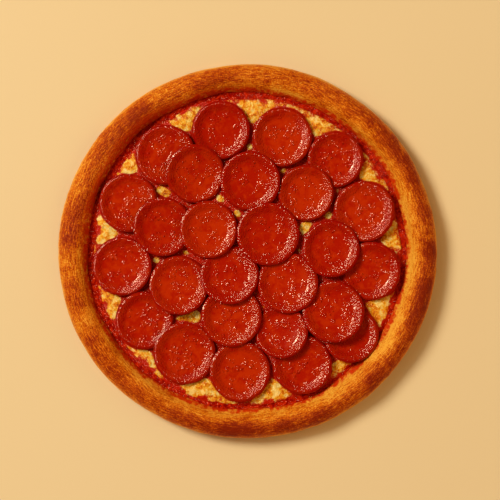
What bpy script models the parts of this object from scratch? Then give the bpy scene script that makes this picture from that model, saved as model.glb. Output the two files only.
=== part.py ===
"""A whole round pepperoni pizza, uncut, as it comes from the oven.

A risen crust with a puffed rim carries a layer of tomato sauce, a layer of melted cheese and
26 overlapping slices of pepperoni, each cupped by the heat and draped over its neighbours.

Metres, +Z up. The origin is the centre of the flat underside.
"""

import math
from dataclasses import dataclass

import bmesh
import bpy
import numpy as np
from mathutils import Vector
from mathutils.bvhtree import BVHTree

# Crust
CRUST_RADIUS = 0.127
FOOT_RADIUS = 0.117
RIM_HEIGHT = 0.0176
RIM_WIDTH = 0.0183
WIDEST_HEIGHT = 0.0085
CREST_SHARE = 0.51
SLOPE_DROP = 0.0096
FLOOR_THICKNESS = 0.0050
CRUST_STEPS = 96
OVALNESS = 0.0007
OUTLINE_WAVE = 0.0003
INNER_EDGE_WAVE = 0.0008
CREST_WAVE = 0.0006
WAVE_FADE = 0.0040

# The rim's section: degrees round its outer side, below and above its widest, and degrees down its
# inner side from the crest
UNDER_TURNS = (-52.0, -22.0, 6.0)
OVER_TURNS = (26.0, 46.0, 68.0, 90.0)
SLOPE_TURNS = (26.0, 52.0, 78.0)

# Layers on the crust
CLEARANCE = 0.0003
SAUCE_RADIUS = 0.1083
SAUCE_THICKNESS = 0.0011
SAUCE_BEAD = 0.0009
BEAD_WIDTH = 0.0021
BEAD_CREST = 0.0011
SAUCE_LAP = 0.0009
SAUCE_LIP = 0.0006
LAP_WIDTH = 0.0006
SAUCE_WAVE = 0.0004
CHEESE_RADIUS = 0.1036
CHEESE_THICKNESS = 0.0029
CHEESE_EDGE = 0.0011
CHEESE_UNDERCUT = 0.0008
CHEESE_SHOULDER = 0.0025
CHEESE_WAVE = 0.0010
CHEESE_RELIEF = 0.00035
BUBBLE_LENGTHS = (0.013, 0.034)
CHEESE_RINGS = 8
CHEESE_FLAT_SHARE = 0.93
TONGUE_SHARE = 0.7
CHEESE_STEPS = 84

# Pepperoni
SLICE_THICKNESS = 0.0014
SLICE_STEPS = 24
LIP_UNDER = 0.955
LIP_OVER = 0.965
UNDER_RING = 0.60
TOP_RINGS = (0.76, 0.46)
DISH_RISE = 0.0008
CURL_RISE = 0.0022
CURL_SCATTER = 0.12
CURL_ORDERS = 3
COVERED_CURL = -0.3
COVER_DEPTH = 0.0040
EDGE_PROBES = 72

# How a soft slice settles: its weight and stiffnesses are only right relative to one another
SLICE_WEIGHT = 7e-6
BEND_STIFFNESS = 0.3
CURL_STIFFNESS = 3.0
CONTACT_STIFFNESS = 60.0
LOOSE_STIFFNESS = 1e-6
SETTLE_ROUNDS = 60
SETTLE_STEP = 0.5
PROBE_SPACING = 0.0010
PROBE_HEIGHT = 0.1
FACET_ALLOWANCE = 0.00012

SEED = 11

DOUGH_COLOUR = (0.62, 0.27, 0.05)
SAUCE_COLOUR = (0.33, 0.02, 0.008)
CHEESE_COLOUR = (0.86, 0.52, 0.12)
PEPPERONI_COLOUR = (0.42, 0.022, 0.006)


@dataclass(frozen=True)
class Slice:
    """One slice of pepperoni, by the place of its centre and its radius."""

    x: float
    y: float
    radius: float


# In the order in which they are laid, so that each lies over those before it.
SLICES = [
    Slice(-0.0694, -0.0464, 0.0197),
    Slice(-0.0844, -0.0098, 0.0200),
    Slice(-0.0462, -0.0226, 0.0200),
    Slice(-0.0802, 0.0328, 0.0198),
    Slice(-0.0570, 0.0168, 0.0199),
    Slice(-0.0552, 0.0651, 0.0204),
    Slice(-0.0178, 0.0819, 0.0196),
    Slice(0.0592, 0.0622, 0.0188),
    Slice(-0.0351, 0.0524, 0.0198),
    Slice(0.0235, 0.0773, 0.0201),
    Slice(0.0369, -0.0761, 0.0201),
    Slice(0.0228, -0.0538, 0.0180),
    Slice(0.0698, -0.0559, 0.0188),
    Slice(0.0833, -0.0131, 0.0198),
    Slice(0.0579, -0.0403, 0.0209),
    Slice(0.0786, 0.0272, 0.0206),
    Slice(-0.0424, -0.0684, 0.0211),
    Slice(-0.0050, -0.0807, 0.0205),
    Slice(-0.0108, -0.0437, 0.0205),
    Slice(0.0272, -0.0211, 0.0205),
    Slice(-0.0120, -0.0157, 0.0198),
    Slice(-0.0261, 0.0149, 0.0195),
    Slice(0.0394, 0.0394, 0.0188),
    Slice(0.0019, 0.0473, 0.0203),
    Slice(0.0563, 0.0020, 0.0193),
    Slice(0.0139, 0.0118, 0.0213),
]


@dataclass(frozen=True)
class Laid:
    """A piece that is in place already: its surface about (x, y), and how far out it reaches."""

    tree: BVHTree
    x: float
    y: float
    reach: float


def smooth_step(value):
    """0 below 0, 1 above 1, and a smooth rise between them."""
    share = np.clip(value, 0.0, 1.0)
    return share * share * (3.0 - 2.0 * share)


def wave_round(angle, orders, seed):
    """An uneven closed wave round the pizza, mostly within -1 to 1: cosines with seeded phases."""
    phases = np.random.default_rng(SEED + seed).uniform(0.0, 2.0 * math.pi, len(orders))
    total = sum(np.cos(order * angle + phase) for order, phase in zip(orders, phases))
    return total / math.sqrt(len(orders))


def ripple(x, y, lengths, seed, count=7):
    """Gentle bumps over the plane, mostly within -1 to 1: waves turned by the golden angle."""
    phases = np.random.default_rng(SEED + seed).uniform(0.0, 2.0 * math.pi, count)
    total = 0.0
    for index, phase in enumerate(phases):
        turn = index * math.pi * (3.0 - math.sqrt(5.0))
        length = lengths[0] + (lengths[1] - lengths[0]) * index / (count - 1)
        along = x * math.cos(turn) + y * math.sin(turn)
        total = total + np.sin(2.0 * math.pi * along / length + phase)
    return total / math.sqrt(count)


def finish(name, colour, roughness):
    """A plain baked-food material."""
    material = bpy.data.materials.new(name)
    material.use_nodes = True
    shader = material.node_tree.nodes["Principled BSDF"]
    shader.inputs["Base Color"].default_value = (*colour, 1.0)
    shader.inputs["Roughness"].default_value = roughness
    shader.inputs["Metallic"].default_value = 0.0
    material.diffuse_color = (*colour, 1.0)
    return material


def turned(profile, steps):
    """A closed solid as a bmesh: the (radius, height) profile spun round Z, its poles merged."""
    solid = bmesh.new()
    points = [solid.verts.new((radius, 0.0, height)) for radius, height in profile]
    edges = [solid.edges.new(pair) for pair in zip(points, points[1:])]
    bmesh.ops.spin(
        solid,
        geom=points + edges,
        cent=(0.0, 0.0, 0.0),
        axis=(0.0, 0.0, 1.0),
        angle=2.0 * math.pi,
        steps=steps,
        use_merge=True,
    )
    bmesh.ops.remove_doubles(solid, verts=solid.verts, dist=1e-6)
    return solid


def reshape(solid, form):
    """Moves every point of a bmesh to where form(x, y, z) says, and turns its faces outwards."""
    places = np.array([point.co for point in solid.verts])
    for point, place in zip(solid.verts, form(*places.T).T):
        point.co = place
    bmesh.ops.recalc_face_normals(solid, faces=solid.faces)
    return solid


def put(name, solid, material, x, y):
    """An object in the scene made from a bmesh, shaded smooth, with its axis at (x, y)."""
    mesh = bpy.data.meshes.new(name)
    solid.to_mesh(mesh)
    mesh.shade_smooth()
    mesh.materials.append(material)
    item = bpy.data.objects.new(name, mesh)
    item.location = (x, y, 0.0)
    bpy.context.scene.collection.objects.link(item)


# Crust

INNER_RADIUS = CRUST_RADIUS - RIM_WIDTH
CREST_RADIUS = INNER_RADIUS + CREST_SHARE * RIM_WIDTH


def crust_section():
    """The crust's section, from its underside's centre out, over the rim and in to the floor's centre.

    The outer side is two quarter ellipses that meet where the crust is widest. The inner side is
    nearly a quarter circle from the crest, and a steep foot from there to the floor.
    """
    section = [(0.0, 0.0), (FOOT_RADIUS, 0.0)]
    for turn in map(math.radians, UNDER_TURNS):
        radius = FOOT_RADIUS + (CRUST_RADIUS - FOOT_RADIUS) * math.cos(turn)
        section.append((radius, WIDEST_HEIGHT * (1.0 + math.sin(turn))))
    for turn in map(math.radians, OVER_TURNS):
        radius = CREST_RADIUS + (CRUST_RADIUS - CREST_RADIUS) * math.cos(turn)
        section.append((radius, WIDEST_HEIGHT + (RIM_HEIGHT - WIDEST_HEIGHT) * math.sin(turn)))
    for turn in map(math.radians, SLOPE_TURNS):
        radius = CREST_RADIUS - (CREST_RADIUS - INNER_RADIUS) * math.sin(turn)
        section.append((radius, RIM_HEIGHT - SLOPE_DROP * (1.0 - math.cos(turn))))
    return section + [(INNER_RADIUS, FLOOR_THICKNESS), (0.0, FLOOR_THICKNESS)]


def inner_edge(angle):
    """How far the foot of the rim's inner slope wanders from a circle."""
    return INNER_EDGE_WAVE * wave_round(angle, (2, 3, 4, 7, 11), 2)


def crust_form(x, y, z):
    """The turned crust made uneven: its outline, inner edge and crest wander as stretched dough does."""
    radius = np.hypot(x, y)
    angle = np.arctan2(y, x)
    on_rim = smooth_step((radius - INNER_RADIUS + WAVE_FADE) / WAVE_FADE)
    on_rim = on_rim * smooth_step(z / WAVE_FADE)
    across = np.clip((radius - INNER_RADIUS) / RIM_WIDTH, 0.0, 1.0)
    outline = OVALNESS * np.cos(2.0 * angle) + OUTLINE_WAVE * wave_round(angle, (3, 5, 8), 1)
    moved = radius + on_rim * (across * outline + (1.0 - across) * inner_edge(angle))
    risen = smooth_step((z - FLOOR_THICKNESS) / (RIM_HEIGHT - FLOOR_THICKNESS))
    crest = CREST_WAVE * wave_round(angle, (2, 5, 9, 14, 19), 3)
    return np.array([moved * np.cos(angle), moved * np.sin(angle), z + on_rim * risen * crest])


def make_crust():
    """The risen dough: a flat floor and a puffed rim."""
    return reshape(turned(crust_section(), CRUST_STEPS), crust_form)


# Sauce and cheese

SAUCE_BOTTOM = FLOOR_THICKNESS + CLEARANCE
SAUCE_TOP = SAUCE_BOTTOM + SAUCE_THICKNESS
CHEESE_BOTTOM = SAUCE_TOP + CLEARANCE
CHEESE_TOP = CHEESE_BOTTOM + CHEESE_THICKNESS


def sauce_section():
    """The sauce's section: a flat layer, and a bead at its edge that laps up the rim's foot."""
    lip = SAUCE_RADIUS - CLEARANCE / 2.0
    return [
        (0.0, SAUCE_BOTTOM),
        (lip - LAP_WIDTH, SAUCE_BOTTOM),
        (lip, SAUCE_BOTTOM + SAUCE_LAP),
        (SAUCE_RADIUS, SAUCE_BOTTOM + SAUCE_LAP + SAUCE_LIP),
        (SAUCE_RADIUS - BEAD_CREST, SAUCE_TOP + SAUCE_BEAD),
        (SAUCE_RADIUS - BEAD_WIDTH, SAUCE_TOP),
        (0.0, SAUCE_TOP),
    ]


def sauce_form(x, y, z):
    """The turned sauce made uneven: its edge follows the rim's foot, and its bead is lumpy."""
    radius = np.hypot(x, y)
    angle = np.arctan2(y, x)
    at_edge = radius > CHEESE_RADIUS
    moved = radius + at_edge * inner_edge(angle)
    on_bead = z > SAUCE_TOP + SAUCE_BEAD / 2.0
    lumps = SAUCE_WAVE * wave_round(angle, (9, 16, 25, 31), 4)
    return np.array([moved * np.cos(angle), moved * np.sin(angle), z + on_bead * lumps])


def make_sauce():
    """The tomato sauce, which shows as a ring between the cheese and the rim."""
    return reshape(turned(sauce_section(), CRUST_STEPS), sauce_form)


def cheese_section():
    """The cheese's section: a thin layer with a rounded edge, and rings to carry its bubbles."""
    section = [
        (0.0, CHEESE_BOTTOM),
        (CHEESE_RADIUS - CHEESE_UNDERCUT, CHEESE_BOTTOM),
        (CHEESE_RADIUS, CHEESE_BOTTOM + CHEESE_EDGE),
        (CHEESE_RADIUS - CHEESE_SHOULDER, CHEESE_TOP),
    ]
    for ring in range(CHEESE_RINGS, -1, -1):
        section.append((CHEESE_RADIUS * CHEESE_FLAT_SHARE * ring / CHEESE_RINGS, CHEESE_TOP))
    return section


def cheese_form(x, y, z):
    """The turned cheese made uneven: its edge runs out in tongues, and its top is gently bubbled."""
    radius = np.hypot(x, y)
    angle = np.arctan2(y, x)
    near_edge = smooth_step((radius / CHEESE_RADIUS - TONGUE_SHARE) / (1.0 - TONGUE_SHARE))
    moved = radius + near_edge * CHEESE_WAVE * wave_round(angle, (5, 8, 13, 21, 29), 5)
    across, along = moved * np.cos(angle), moved * np.sin(angle)
    upper = smooth_step((z - CHEESE_BOTTOM) / CHEESE_THICKNESS)
    bubbles = CHEESE_RELIEF * ripple(across, along, BUBBLE_LENGTHS, 6)
    return np.array([across, along, z + upper * bubbles])


def make_cheese():
    """The melted cheese, which shows between the slices and in a ring round them."""
    return reshape(turned(cheese_section(), CHEESE_STEPS), cheese_form)


# Pepperoni


def slice_shapes(across, along):
    """The shapes that a slice can take, as columns, for places given as shares of its radius.

    They are its height and two tilts, a dish and two bends, and a curl that rises with the fourth
    power towards the edge and varies round it up to CURL_ORDERS times.
    """
    share = np.hypot(across, along)
    angle = np.arctan2(along, across)
    columns = [np.ones_like(share), across, along]
    columns += [share**2, across**2 - along**2, 2.0 * across * along]
    columns += [share**4]
    for order in range(1, CURL_ORDERS + 1):
        columns += [share**4 * np.cos(order * angle), share**4 * np.sin(order * angle)]
    return np.stack(columns, axis=-1)


def shape_stiffness():
    """How strongly a slice holds each of its shapes: it is free to move and tilt, and bends a little."""
    loose, bends, curls = [LOOSE_STIFFNESS] * 3, [BEND_STIFFNESS] * 3, 1 + 2 * CURL_ORDERS
    return np.array(loose + bends + [CURL_STIFFNESS] * curls)


def natural_form(index):
    """A slice's form as the oven cups it: its curl is held down where later slices cover its edge."""
    this = SLICES[index]
    angles = np.linspace(0.0, 2.0 * math.pi, EDGE_PROBES, endpoint=False)
    edge_x = this.x + this.radius * np.cos(angles)
    edge_y = this.y + this.radius * np.sin(angles)
    cover = np.zeros_like(angles)
    for later in SLICES[index + 1 :]:
        depth = later.radius - np.hypot(edge_x - later.x, edge_y - later.y)
        cover = np.maximum(cover, smooth_step(depth / COVER_DEPTH))
    draw = np.random.default_rng(SEED + 100 + index)
    rise = CURL_RISE * (1.0 + CURL_SCATTER * draw.uniform(-1.0, 1.0))
    curl = rise * (1.0 - (1.0 - COVERED_CURL) * cover)
    form = [0.0, 0.0, 0.0, DISH_RISE, 0.0, 0.0, curl.mean()]
    for order in range(1, CURL_ORDERS + 1):
        scatter = rise * CURL_SCATTER * draw.uniform(-1.0, 1.0, 2) / order
        form.append(2.0 * (curl * np.cos(order * angles)).mean() + scatter[0])
        form.append(2.0 * (curl * np.sin(order * angles)).mean() + scatter[1])
    return np.array(form)


def height_below(laid, x, y):
    """The highest surface at (x, y) of the pieces that are in place already."""
    highest = 0.0
    for piece in laid:
        if math.hypot(x - piece.x, y - piece.y) > piece.reach:
            continue
        start = Vector((x - piece.x, y - piece.y, PROBE_HEIGHT))
        found = piece.tree.ray_cast(start, Vector((0.0, 0.0, -1.0)))[0]
        if found is not None:
            highest = max(highest, found.z)
    return highest


def settle(index, laid):
    """The form of a slice at rest: it sinks and bends under its weight until it is held up.

    Each round solves for the least energy of weight, bending and contact, with contact only where
    the slice is at or below what lies under it. At the end it is lifted clear.
    """
    this = SLICES[index]
    reach = np.arange(-this.radius, this.radius + PROBE_SPACING, PROBE_SPACING)
    across, along = (axis.ravel() for axis in np.meshgrid(reach, reach))
    inside = np.hypot(across, along) <= this.radius
    across, along = across[inside], along[inside]
    below = [height_below(laid, this.x + dx, this.y + dy) for dx, dy in zip(across, along)]
    held = np.array(below) + SLICE_THICKNESS + CLEARANCE + FACET_ALLOWANCE
    shapes = slice_shapes(across / this.radius, along / this.radius)
    stiffness = shape_stiffness()
    natural = natural_form(index)
    form = natural.copy()
    form[0] = held.mean()
    for _ in range(SETTLE_ROUNDS):
        touching = shapes @ form < held
        contact = CONTACT_STIFFNESS / len(held) * shapes[touching].T
        pull = stiffness * natural + contact @ held[touching]
        pull[0] -= SLICE_WEIGHT
        rest = np.linalg.solve(np.diag(stiffness) + contact @ shapes[touching], pull)
        form += SETTLE_STEP * (rest - form)
    form[0] += max(0.0, float((held - shapes @ form).max()))
    return form


def slice_section(radius):
    """A flat slice's section, from its underside's centre round its lip to its top's centre."""
    under = [(share * radius, -SLICE_THICKNESS) for share in (0.0, UNDER_RING, LIP_UNDER)]
    over = [(share * radius, 0.0) for share in (LIP_OVER, *TOP_RINGS, 0.0)]
    return under + [(radius, -SLICE_THICKNESS / 2.0)] + over


def make_slice(index, laid):
    """One slice as a bmesh about its own centre, in the form that it settles to."""
    this = SLICES[index]
    form = settle(index, laid)

    def drape(x, y, z):
        return np.array([x, y, z + slice_shapes(x / this.radius, y / this.radius) @ form])

    return reshape(turned(slice_section(this.radius), SLICE_STEPS), drape)


def middle_of(solid):
    """The middle of a bmesh's outline seen from above."""
    places = np.array([point.co for point in solid.verts])
    return (places.max(axis=0) + places.min(axis=0))[:2] / 2.0


def build():
    """The pizza, from its underside up, with the middle of its outline at the origin."""
    for item in list(bpy.data.objects):
        bpy.data.objects.remove(item)
    layers = (
        ("crust", make_crust(), finish("baked_dough", DOUGH_COLOUR, 0.65)),
        ("sauce", make_sauce(), finish("tomato_sauce", SAUCE_COLOUR, 0.35)),
        ("cheese", make_cheese(), finish("melted_cheese", CHEESE_COLOUR, 0.40)),
    )
    middle_x, middle_y = middle_of(layers[0][1])
    laid = []
    for name, solid, material in layers:
        laid.append(Laid(BVHTree.FromBMesh(solid), 0.0, 0.0, CRUST_RADIUS))
        put(name, solid, material, -middle_x, -middle_y)
    sausage = finish("pepperoni", PEPPERONI_COLOUR, 0.30)
    for index, this in enumerate(SLICES):
        solid = make_slice(index, laid)
        laid.append(Laid(BVHTree.FromBMesh(solid), this.x, this.y, this.radius))
        put(f"pepperoni_{index + 1:02d}", solid, sausage, this.x - middle_x, this.y - middle_y)


build()
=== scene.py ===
"""The looks of a whole pepperoni pizza, seen from straight above.

Every layer keeps the form of its solid. The crust, sauce and cheese are read back as rings of
points round the pizza's axis and made finer, and each slice of pepperoni is fitted with the few
shapes that a soft round slice takes. Fine relief and procedural finishes go on top.
"""

import logging
import math
from dataclasses import dataclass, field
from enum import Enum, IntEnum
from itertools import product
from typing import Mapping, Sequence, Union

import bpy
import numpy as np
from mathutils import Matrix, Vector


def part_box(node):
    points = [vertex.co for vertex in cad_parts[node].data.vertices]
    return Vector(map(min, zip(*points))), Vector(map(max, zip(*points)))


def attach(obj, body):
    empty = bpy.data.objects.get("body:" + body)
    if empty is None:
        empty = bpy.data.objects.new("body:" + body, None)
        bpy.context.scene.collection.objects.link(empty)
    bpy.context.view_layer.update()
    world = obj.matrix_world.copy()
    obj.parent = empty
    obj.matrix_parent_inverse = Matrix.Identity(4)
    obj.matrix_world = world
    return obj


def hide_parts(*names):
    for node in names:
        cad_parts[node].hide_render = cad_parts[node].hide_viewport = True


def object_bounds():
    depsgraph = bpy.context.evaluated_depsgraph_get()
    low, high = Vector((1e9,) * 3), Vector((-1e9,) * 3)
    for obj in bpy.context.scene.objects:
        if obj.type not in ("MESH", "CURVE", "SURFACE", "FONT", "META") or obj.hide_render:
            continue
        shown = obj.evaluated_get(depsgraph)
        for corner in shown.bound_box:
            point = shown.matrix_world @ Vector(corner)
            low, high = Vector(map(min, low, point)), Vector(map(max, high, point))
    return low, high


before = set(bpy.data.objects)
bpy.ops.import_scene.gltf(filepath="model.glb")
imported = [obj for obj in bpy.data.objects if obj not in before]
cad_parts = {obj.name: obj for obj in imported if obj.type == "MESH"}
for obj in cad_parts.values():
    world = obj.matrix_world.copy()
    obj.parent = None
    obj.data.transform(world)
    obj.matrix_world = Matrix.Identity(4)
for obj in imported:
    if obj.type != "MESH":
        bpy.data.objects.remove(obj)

Array = np.ndarray
Span = tuple[float, float]
Triple = tuple[float, float, float]
Colour = Triple

LOG = logging.getLogger("pizza")
CAD_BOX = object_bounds()
BODY = "root"
TURN = 2.0 * math.pi
MM = 0.001


class Draw(IntEnum):
    """Which noise each relief or patch draws."""

    DRIFT = 3
    FIBRES = 5
    SWELL = 9
    BLISTERS = 13
    BROWNING = 21
    SPLASHES = 25
    FOOT = 27
    LUMPS = 31
    CREEP = 33
    TONGUES = 41
    BUBBLES = 47
    MIXING = 53
    SLICE_EDGE = 61
    SLICE_GRAIN = 67
    SLICE_TONE = 71


# Numbers over a surface


def smooth_step(value: Array, low: float = 0.0, high: float = 1.0) -> Array:
    """Rises smoothly from 0 at low to 1 at high, as 3t² - 2t³ does.

    Args:
        value: Any array of numbers.
        low: Where the rise starts.
        high: Where the rise ends. It may be below low, for a fall.

    Returns:
        An array of the same shape, from 0 to 1.
    """
    share = np.clip((value - low) / (high - low), 0.0, 1.0)
    return share * share * (3.0 - 2.0 * share)


def hashed(cells: Array, seed: int) -> Array:
    """One fixed random number from -1 to 1 for each whole-number cell.

    Args:
        cells: Whole numbers, with three in the last dimension.
        seed: Which set of numbers to draw.

    Returns:
        The numbers, one for each cell.
    """
    mixed = cells.astype(np.uint64) * np.array([0x9E3779B1, 0x85EBCA77, 0xC2B2AE3D], np.uint64)
    total = mixed[..., 0] ^ mixed[..., 1] ^ mixed[..., 2] ^ np.uint64(seed * 0x27D4EB2F)
    for shift in (15, 13, 16):
        total = (total ^ (total >> np.uint64(shift))) * np.uint64(0x2C1B3C6D)
    return ((total >> np.uint64(20)) & np.uint64(0xFFFF)).astype(float) / 32767.5 - 1.0


def noise(points: Array, seed: int) -> Array:
    """Smooth noise: random heights at whole-number places, blended by 6t⁵ - 15t⁴ + 10t³.

    Args:
        points: Places, with three coordinates in the last dimension, in cells.
        seed: Which noise to draw.

    Returns:
        Heights, mostly from -1 to 1.
    """
    cell = np.floor(points)
    part = points - cell
    blend = part**3 * (part * (part * 6.0 - 15.0) + 10.0)
    total = np.zeros(points.shape[:-1])
    for corner in product((0, 1), repeat=3):
        share = np.prod(np.where(np.array(corner, bool), blend, 1.0 - blend), axis=-1)
        total += share * hashed((cell + corner + 4096).astype(np.int64), seed)
    return total


def layered(points: Array, seed: int, layers: int = 3, fade: float = 0.5) -> Array:
    """Noise on noise: each layer has twice the detail and fade times the height of the last.

    Args:
        points: Places, with three coordinates in the last dimension, in cells.
        seed: Which noise to draw.
        layers: How many layers there are.
        fade: The height of each layer next to the last.

    Returns:
        Heights, mostly from -1 to 1.
    """
    total = sum(fade**step * noise(points * 2.0**step, seed + step) for step in range(layers))
    return total / sum(fade**step for step in range(layers))


def angles(steps: int) -> Array:
    """Even angles round the pizza, in radians."""
    return np.arange(steps) * TURN / steps


def facing(angle: Array, bearing: float) -> Array:
    """How much each angle faces a bearing in degrees: 1 towards it and -1 away from it."""
    return np.cos(angle - math.radians(bearing))


def circle(steps: int, level: float = 0.0) -> Array:
    """Places round a circle of radius 1 at a level, on which noise closes without a seam."""
    angle = angles(steps)
    return np.stack([np.cos(angle), np.sin(angle), np.full(steps, level)], axis=-1)


def spline_weights(knots: Array, places: Array) -> Array:
    """Weights that turn values at the knots into a natural cubic spline's values at the places.

    The spline's bends at the knots solve one band of linear equations. Between two knots the value
    is their blend plus each bend times (t³ - t) times the gap squared over six.

    Args:
        knots: Rising numbers, one for each value.
        places: Where the spline is wanted.

    Returns:
        A matrix with a row for each place and a column for each knot.
    """
    gaps = np.diff(knots)
    inner = np.arange(1, len(knots) - 1)
    band, pull = np.eye(len(knots)), np.zeros((len(knots), len(knots)))
    band[inner, inner - 1] = gaps[:-1]
    band[inner, inner] = 2.0 * (gaps[:-1] + gaps[1:])
    band[inner, inner + 1] = gaps[1:]
    pull[inner, inner - 1] = 6.0 / gaps[:-1]
    pull[inner, inner] = -6.0 / gaps[:-1] - 6.0 / gaps[1:]
    pull[inner, inner + 1] = 6.0 / gaps[1:]
    bends = np.linalg.solve(band, pull)
    cell = np.clip(np.searchsorted(knots, places, side="right") - 1, 0, len(knots) - 2)
    gap = gaps[cell][:, None]
    after = (places - knots[cell])[:, None] / gap
    before = 1.0 - after
    values = np.eye(len(knots))
    straight = before * values[cell] + after * values[cell + 1]
    curved = (before**3 - before) * bends[cell] + (after**3 - after) * bends[cell + 1]
    return straight + curved * gap**2 / 6.0


def threaded(points: Array, rows: int, crowding: float = 1.0) -> tuple[Array, Array]:
    """Rows of points along a natural cubic spline through a few rows.

    The knots are the mean distances along the section. A new row's place is the whole length times
    its share of the rows to the power of the crowding.

    Args:
        points: Radius and height, by row and step.
        rows: How many rows are wanted.
        crowding: 1 for even rows. Above 1, they lie closer at the start.

    Returns:
        The new rows, and how far along the section each lies.
    """
    reach = np.linalg.norm(np.diff(points.mean(axis=1), axis=0), axis=1)
    knots = np.concatenate([[0.0], np.cumsum(reach)])
    places = knots[-1] * np.linspace(0.0, 1.0, rows) ** crowding
    return np.einsum("rk,ksc->rsc", spline_weights(knots, places), points), places


def drawn_in(ring: Array, shares: Sequence[float]) -> Array:
    """Copies of a ring at its own height, nearer the axis.

    Args:
        ring: Radius and height, by step.
        shares: The share of the radius that each copy has.

    Returns:
        The copies.
    """
    return np.stack([ring * [share, 1.0] for share in shares])


# The solids, read back


def corners_of(node: str) -> Array:
    """The places of a CAD node's corners, each once.

    Args:
        node: The node's name.

    Returns:
        An array of places in metres, one in each row.
    """
    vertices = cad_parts[node].data.vertices
    places = np.empty(len(vertices) * 3, np.float32)
    vertices.foreach_get("co", places)
    return np.unique(np.round(places.reshape(-1, 3).astype(float), 6), axis=0)


def pizza_axis() -> Array:
    """Where the pizza's axis stands: at the corner in the middle of the cheese."""
    corners = corners_of("cheese")
    return corners[np.argmin(np.hypot(corners[:, 0], corners[:, 1])), :2]


def round_axis(radius: Array, height: Array) -> tuple[Array, Array]:
    """Turns radii and heights into places round the pizza's axis.

    Args:
        radius: How far each point is from the axis, by row and step.
        height: How high it is.

    Returns:
        The places, and the two on the axis that close the first and the last row.
    """
    axis, angle = pizza_axis(), angles(radius.shape[1])
    x, y = axis[0] + radius * np.cos(angle), axis[1] + radius * np.sin(angle)
    ends = np.array([[*axis, height[0].mean()], [*axis, height[-1].mean()]])
    return np.stack([x, y, height], axis=-1), ends


@dataclass(frozen=True)
class Turned:
    """A turned solid, read back as rings of radius and height round the pizza's axis."""

    node: str
    steps: int
    core_inset: float
    core_height: float
    axis_reach: float = 2.0 * MM
    first_turn: float = TURN * 5.0 / 12.0

    def rings(self, steps: int, orders: int = 48) -> Array:
        """The solid's rings, from its underside's edge over its top, with more points in each.

        The corners are sorted round a core inside the section, a little in from the solid's outer
        edge. Each ring is then a closed wave, and more points are read from its Fourier series.

        Args:
            steps: How many points each ring shall have.
            orders: How many waves round the ring are kept. Fewer make it smoother.

        Returns:
            An array of rings, steps, and radius and height.
        """
        corners = corners_of(self.node)
        away = corners[:, :2] - pizza_axis()
        radius, height = np.hypot(*away.T), corners[:, 2]
        ringed = radius > self.axis_reach
        away, radius, height = away[ringed], radius[ringed], height[ringed]
        column = np.round(np.arctan2(away[:, 1], away[:, 0]) / TURN * self.steps).astype(int)
        column %= self.steps
        outer = np.zeros(self.steps)
        np.maximum.at(outer, column, radius)
        across = radius - outer[column] + self.core_inset
        turn = np.mod(np.arctan2(height - self.core_height, across) + self.first_turn, TURN)
        order = np.lexsort((turn, column))
        section = np.stack([radius, height], axis=-1)[order]
        columns = section.reshape(self.steps, -1, 2).transpose(1, 0, 2)
        waves = np.fft.rfft(columns, axis=1)[:, : orders + 1]
        return np.fft.irfft(waves, steps, axis=1) * steps / self.steps


# Meshes


@dataclass
class Surface:
    """A closed surface: rings of points from its underside's centre out and in to its top's centre."""

    rings: Array
    ends: Array
    fields: dict[str, Array] = field(default_factory=dict)

    def normals(self) -> Array:
        """The outward unit normals, from the differences along and across the rings.

        Returns:
            An array of the same shape as the rings.
        """
        along = np.roll(self.rings, -1, axis=1) - np.roll(self.rings, 1, axis=1)
        across = np.gradient(self.rings, axis=0)
        normal = np.cross(along, across)
        return normal / np.linalg.norm(normal, axis=-1, keepdims=True)

    def raised(self, relief: Array) -> "Surface":
        """The surface moved along its normals.

        Args:
            relief: How far each point moves outwards, in metres.

        Returns:
            The moved surface, with the same fields.
        """
        rings = self.rings + self.normals() * relief[..., None]
        return Surface(rings, self.ends, self.fields)

    def piece(self, name: str) -> bpy.types.Object:
        """A smooth object made from the surface, with its fields as attributes.

        Args:
            name: The object's name.

        Returns:
            The object, in the scene.
        """
        rows, steps = self.rings.shape[:2]
        last = rows * steps + 1
        index = 1 + np.arange(rows * steps).reshape(rows, steps)
        after = np.roll(index, -1, axis=1)
        quads = np.stack([index[:-1], after[:-1], after[1:], index[1:]], axis=-1)
        under = np.stack([np.zeros(steps, int), after[0], index[0]], axis=-1)
        over = np.stack([np.full(steps, last), index[-1], after[-1]], axis=-1)
        points = np.concatenate([self.ends[:1], self.rings.reshape(-1, 3), self.ends[1:]])
        mesh = bpy.data.meshes.new(name)
        faces = quads.reshape(-1, 4).tolist() + under.tolist() + over.tolist()
        mesh.from_pydata(points.tolist(), [], faces)
        for key, values in self.fields.items():
            self._store(mesh, key, values)
        mesh.shade_smooth()
        item = bpy.data.objects.new(name, mesh)
        bpy.context.scene.collection.objects.link(item)
        return item

    @staticmethod
    def _store(mesh: bpy.types.Mesh, key: str, values: Array) -> None:
        """Writes a field to the mesh's points, where each end takes its nearest ring's mean.

        Args:
            mesh: The mesh.
            key: The attribute's name.
            values: A number or three for each point of the rings.
        """
        flat = values.reshape(values.shape[0] * values.shape[1], -1)
        low, high = values[0].mean(axis=0).reshape(1, -1), values[-1].mean(axis=0).reshape(1, -1)
        whole = np.concatenate([low, flat, high])
        vector = whole.shape[1] == 3
        made = mesh.attributes.new(key, "FLOAT_VECTOR" if vector else "FLOAT", "POINT")
        made.data.foreach_set("vector" if vector else "value", whole.astype(np.float32).ravel())


# Shaders

Value = Union[float, Colour, "Signal"]


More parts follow.
